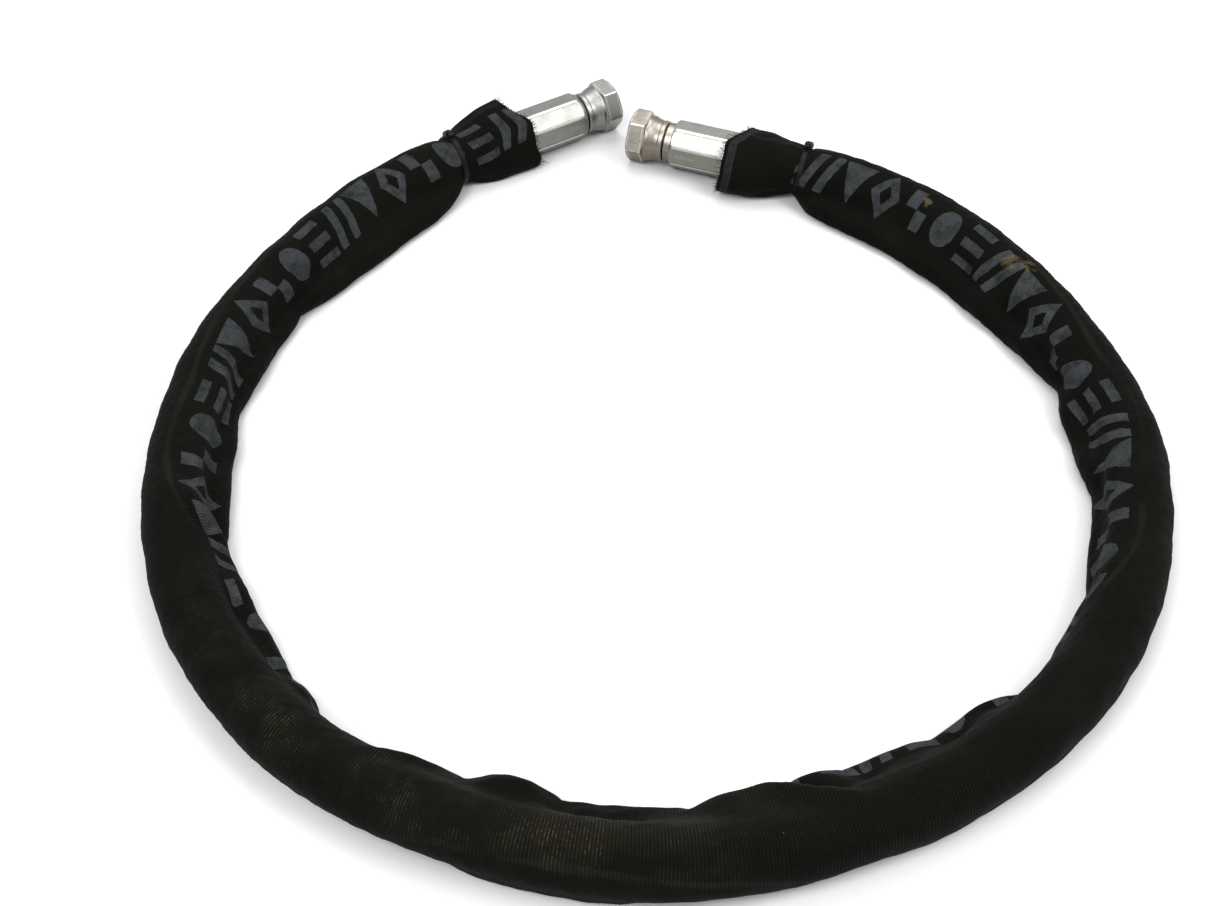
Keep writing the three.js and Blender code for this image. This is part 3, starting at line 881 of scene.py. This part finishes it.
def make_sleeve():
    cloth, s, flat = slack_cloth()
    cloth = doubled(cloth, closed=False)
    s = doubled(s[:, None], closed=False)[:, 0]
    cloth = doubled(cloth.transpose(1, 0, 2), closed=True).transpose(1, 0, 2)
    centre, along, inward = ROUTE.at(s)
    cloth = contain(cloth, centre, along, inward, s)
    normal = outward_normals(cloth)
    rumple = sum(
        size * np.sin(cloth @ rng.normal(size=3) * wave + rng.uniform(0, TAU))
        for size, wave in ((0.00025, 140), (0.0002, 230), (0.00015, 340), (0.0001, 600))
    )
    near = tie_distance(s)[:, None]
    pleats = 0.00045 * np.cos(np.arange(2 * POINTS) * math.pi / 2) * np.exp(-((near / 0.009) ** 2))
    rumple = rumple * smoothstep(near, 0.004, 0.02) + pleats * smoothstep(near, 0.001, 0.004)
    cloth = cloth + normal * rumple[..., None]
    outside, inside = cloth + normal * CLOTH / 2, cloth - normal * CLOTH / 2
    outside[..., 2] = np.maximum(outside[..., 2], 0.0002)
    rows = np.concatenate([outside, inside[::-1]])
    u = np.linspace(0, flat, len(s))
    v = np.arange(2 * POINTS) / (2 * POINTS) * GIRTH
    v = (v + GIRTH / 2) % GIRTH - GIRTH / 2
    v = np.where(v < 0, v + GIRTH, v)
    uv = (np.concatenate([u, u[::-1]]), v)
    paint = sleeve_paint(flat)
    sleeve = grid_mesh("woven_sleeve", rows, paint, close_rows=True, uv=uv)
    frays = make_frays(outside, normal, along, paint)
    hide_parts("abrasion_sleeve")
    for piece in (sleeve, frays):
        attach(piece, "hose_assembly")


def thread(points, radius, sides=5):
    """Rings of points for a thin, tapering tube along a few points."""
    points = np.array(points)
    heading = np.gradient(points, axis=0)
    heading /= np.linalg.norm(heading, axis=1, keepdims=True)
    across = np.cross(heading, [0.31, 0.52, 0.79])
    across /= np.linalg.norm(across, axis=1, keepdims=True)
    other = np.cross(heading, across)
    theta = np.arange(sides) / sides * TAU
    out = across[:, None] * np.cos(theta)[:, None] + other[:, None] * np.sin(theta)[:, None]
    taper = np.linspace(1, 0.5, len(points))[:, None, None]
    return points[:, None] + radius * taper * out


def add_tube(builder, rings):
    """Adds a closed tube through rings of points."""
    verts = [[builder.verts.new(p) for p in ring] for ring in rings]
    for one, two in zip(verts, verts[1:]):
        for i in range(len(one)):
            j = (i + 1) % len(one)
            builder.faces.new((one[i], one[j], two[j], two[i]))
    builder.faces.new(verts[0][::-1])
    builder.faces.new(verts[-1])


FRAYS = 3  # loose yarn ends at each point of the cloth's edge
FRAY_RADIUS = 0.00017


def make_frays(outside, normal, along, material):
    """Loose yarn ends round the sleeve's two cut edges."""
    builder = bmesh.new()
    edges = [(row, k) for row in (0, -1) for k in range(outside.shape[1]) for _ in range(FRAYS)]
    for row, k in edges:
        root = outside[row, k] - normal[row, k] * rng.uniform(0.0002, 0.0009)
        drift = (along[-1] if row else -along[0]) + rng.normal(size=3) * 0.55
        length = rng.uniform(0.0008, 0.0026) * (1.6 if rng.random() < 0.15 else 1.0)
        curl = rng.normal(size=3) * 0.5
        points = [root + (drift * t + curl * t * t) * length for t in (-0.3, 0, 0.4, 0.7, 1)]
        rings = thread(points, FRAY_RADIUS)
        rings[..., 2] = np.maximum(rings[..., 2], 0.0001)
        add_tube(builder, rings)
    mesh = bpy.data.meshes.new("sleeve_edge_frays")
    bmesh.ops.recalc_face_normals(builder, faces=builder.faces)
    builder.to_mesh(mesh)
    builder.free()
    plain = np.tile([0.001, GIRTH / 2], len(mesh.loops)).astype(np.float32)
    mesh.uv_layers.new(name="surface").data.foreach_set("uv", plain)
    mesh.shade_smooth()
    return finished("sleeve_edge_frays", mesh, material)


# -------- fittings, in mm

CRIMP_FLATS = 8
FLAT = 15.7  # axis to a crimped flat
RIDGE = 16.42  # axis to the rounded edge between two flats
RIDGE_LINE = 0.32  # how far the line left on it stands up
ACROSS_FLATS = 31.75
NUT_FRONT = 25.5
THREAD_PITCH = 2.1


def folded(theta, count, first):
    """The angle from the middle of the nearest of the flats spaced evenly round."""
    width = TAU / count
    return (theta - first + width / 2) % width - width / 2


def ferrule_limit(turn, front):
    """Eight crimped flats with a narrow raised line left between each two."""
    def limit(x, r, theta):
        angle = np.abs(folded(theta, CRIMP_FLATS, turn))
        flat = FLAT / np.cos(angle)
        line = smoothstep(angle, math.radians(18.2), math.radians(19.0)) * RIDGE_LINE
        shape = np.minimum(flat, RIDGE) + line
        fade = smoothstep(x, -57.6, -56.4) * smoothstep(x, front + 1.3, front - 1.5)
        outside = r > 14.0
        pressed = soft_least(r, shape * fade + r * (1 - fade) * 0.985 + 0 * theta, 0.2)
        return np.where(outside, pressed, r)
    return limit


def make_ferrule(side, end, material):
    """A crimped ferrule; the left one reaches almost to the nut and has a longer sloping nose."""
    if side == "left":
        front, turn = -1.1, math.radians(-8)
        nose = [(front - 3.6, 16.8), (front - 0.7, 15.0), (front, 14.3)]
    else:
        front, turn = -5.5, math.radians(4)
        nose = [(front - 2.4, 16.8), (front - 0.5, 16.1), (front, 15.2)]
    outline = rounded([
        (-58, 13.7), (-58, 16.0), (-56.6, 16.8), *nose, (front, 13.7), (-6, 13.7), (-6, 11.4),
        (-8, 11.4), (-8, 13.7),
    ], 0.4)
    piece = turned(f"{side}_ferrule_shell", end, divided(outline, 1.0), material, sides=360,
                   limit=ferrule_limit(turn, front), start=turn)
    return [(piece, f"{side}_crimp_ferrule", "ferrule_steel", "hose_assembly")]


def nut_limit(x, r, theta):
    """Six flats outside and a helical thread inside."""
    hexagon = ACROSS_FLATS / 2 / np.cos(folded(theta, 6, math.radians(30)))
    hexagon = soft_least(hexagon, 18.22, 0.35)
    outer = r > 15.76
    shaped = np.where(outer, soft_least(r, hexagon, 0.45), r)
    turns = (x / THREAD_PITCH - theta / TAU) % 1.0
    groove = np.clip(1.25 - np.abs(turns - 0.5) * 3.4, 0, 1) * 0.85
    run = smoothstep(x, 14.6, 15.4) * smoothstep(x, NUT_FRONT - 0.5, NUT_FRONT - 1.6)
    inner = (r < 13.2) & (x > 13.5)
    return np.where(inner, r + groove * run, shaped)


def make_nut(side, end, material):
    outer = rounded([
        (0.4, 11.1), (0.4, 13.3), (1.1, 14.1), (3.4, 14.1), (4.4, 13.75), (6.6, 14.1),
        (9.4, 15.0), (11.4, 15.75), (12.4, 15.6), (13.2, 15.8), (14.5, 18.4),
        (NUT_FRONT - 1.5, 18.4), (NUT_FRONT, 16.5),
        (NUT_FRONT, 13.9), (NUT_FRONT - 1.2, 12.6), (15.0, 12.6), (4.1, 12.6), (4.1, 11.1),
    ], 0.35)
    piece = turned(f"{side}_union_nut", end, divided(outer, 0.24), material, sides=288,
                   limit=nut_limit)
    return [(piece, f"{side}_swivel_nut", "nut_steel", f"{side}_nut")]


def make_stem(side, end, material):
    barbs = []
    for i in range(4):
        back = -54 + 9 * i
        barbs += [(back, 8.7), (back + 0.4, 8.2)]
    seat = 13 - (11.2 - 7) / math.tan(math.radians(37))
    outline = rounded([
        (-56, 7), (-56, 8.1), *barbs, (-9.2, 8.2), (-9.2, 12.3), (-8.3, 12.3), (-8.3, 11),
        (-5.2, 11), (-5.2, 13.55), (-0.7, 13.55), (0, 12.8), (0, 10.5), (4.4, 10.5), (4.4, 11.9),
        (13, 11.9), (13, 11.2), (seat, 7),
    ], 0.3)
    piece = turned(f"{side}_stem_body", end, divided(outline, 3.0), material)
    return [(piece, f"{side}_hose_stem", "plated_steel", "hose_assembly")]


# -------- cable ties

TIE_INNER, TIE_OUTER, TIE_WIDTH = 15.95, 17.05, 3.6
TIE_HEAD_AT = math.radians(65)  # up from the horizontal, towards the outside of the loop


def tie_part(builder, size, at, bevel):
    """Adds a box with rounded edges to a cable tie's head."""
    made = bmesh.ops.create_cube(builder, size=1.0, matrix=Matrix.Translation(at)
                                 @ Matrix.Diagonal((*size, 1)))
    edges = {e for v in made["verts"] for e in v.link_edges}
    bmesh.ops.bevel(builder, geom=list(edges), offset=bevel, segments=3, affect="EDGES",
                    profile=0.5)


def make_tie(side, end, material):
    back = -end["tie"] / MM
    strap = rounded([
        (back - TIE_WIDTH / 2, TIE_INNER), (back - TIE_WIDTH / 2, TIE_OUTER),
        (back + TIE_WIDTH / 2, TIE_OUTER), (back + TIE_WIDTH / 2, TIE_INNER),
    ], 0.35)
    ring = turned(f"{side}_tie_strap", end, strap, material, sides=180)
    builder = bmesh.new()
    outer = end["outer"]
    tie_part(builder, (5.2, 6.0, 4.2), (0, 0, 18.4), 0.5)
    tie_part(builder, (5.8, 1.6, 2.6), (0, outer * 2.9, 17.9), 0.4)
    tie_part(builder, (3.3, 4.6, 1.1), (0, -outer * 4.6, 18.9), 0.25)
    tie_part(builder, (2.2, 2.2, 0.9), (0, 0.3, 20.6), 0.25)
    for k in range(4):
        tie_part(builder, (2.2, 0.35, 0.3), (0, -outer * (3.6 + 0.9 * k), 18.3), 0.08)
    tilt = -outer * (math.pi / 2 - TIE_HEAD_AT)
    bmesh.ops.rotate(builder, verts=builder.verts, cent=(0, 0, 0),
                     matrix=Matrix.Rotation(tilt, 3, "X"))
    mesh = bpy.data.meshes.new(f"{side}_tie_head")
    builder.to_mesh(mesh)
    builder.free()
    points = np.array([v.co for v in mesh.vertices])
    points = in_place((points + [back, 0, 0]) * MM, end)
    mesh.vertices.foreach_set("co", points.astype(np.float32).ravel())
    mesh.shade_smooth()
    head = finished(f"{side}_tie_head", mesh, material)
    head.modifiers.new("normals", "WEIGHTED_NORMAL")
    node = f"{side}_cable_tie"
    return [(ring, node, "tie_nylon", "hose_assembly"), (head, node, "tie_nylon", "hose_assembly")]


# -------- stage and light

def make_stage():
    mesh = bpy.data.meshes.new("floor")
    size = 20.0
    mesh.from_pydata([(-size, -size, 0), (size, -size, 0), (size, size, 0), (-size, size, 0)], [],
                     [(0, 1, 2, 3)])
    finished("floor", mesh, floor_paint())


def area_light(name, location, target, size, power):
    light = bpy.data.lights.new(name, "AREA")
    light.shape = "DISK"
    light.size = size
    light.energy = power
    lamp = bpy.data.objects.new(name, light)
    lamp.location = location
    lamp.rotation_euler = (Vector(target) - Vector(location)).to_track_quat("-Z", "Y").to_euler()
    bpy.context.scene.collection.objects.link(lamp)


def make_light():
    world = bpy.data.worlds.new("studio")
    bpy.context.scene.world = world
    world.use_nodes = True
    tree = world.node_tree
    background = tree.nodes["Background"]
    coords = tree.nodes.new("ShaderNodeTexCoord")
    split = tree.nodes.new("ShaderNodeSeparateXYZ")
    ramp = tree.nodes.new("ShaderNodeValToRGB")
    tree.links.new(coords.outputs["Generated"], split.inputs[0])
    tree.links.new(split.outputs[2], ramp.inputs[0])
    tree.links.new(ramp.outputs[0], background.inputs[0])
    stops = ramp.color_ramp.elements
    stops[0].color = (0.16, 0.165, 0.17, 1)
    stops[1].color = (0.95, 0.97, 1.0, 1)
    stops.new(0.45).color = (0.5, 0.51, 0.52, 1)
    background.inputs[1].default_value = 1.5
    area_light("key", (-0.6, -0.75, 1.4), (0, 0, 0), 0.9, 16)
    area_light("fill", (1.0, -0.35, 1.4), (0, 0, 0), 0.9, 14)
    area_light("overhead", (0.0, 0.9, 1.6), (0, 0, 0), 1.3, 14)
    bpy.context.scene.view_settings.view_transform = "Standard"


# -------- assembly

make_camera()
hose = make_hose()
make_sleeve()
steels = steel_materials()
nylon = tie_paint()
for side, end in FITTINGS.items():
    parts = make_ferrule(side, end, steels["ferrule"])
    parts += make_stem(side, end, steels["stem"])
    parts += make_nut(side, end, steels["nut"])
    parts += make_tie(side, end, nylon)
    for piece, node, slot, body in parts:
        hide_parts(node)
        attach(piece, body)
make_stage()
make_light()
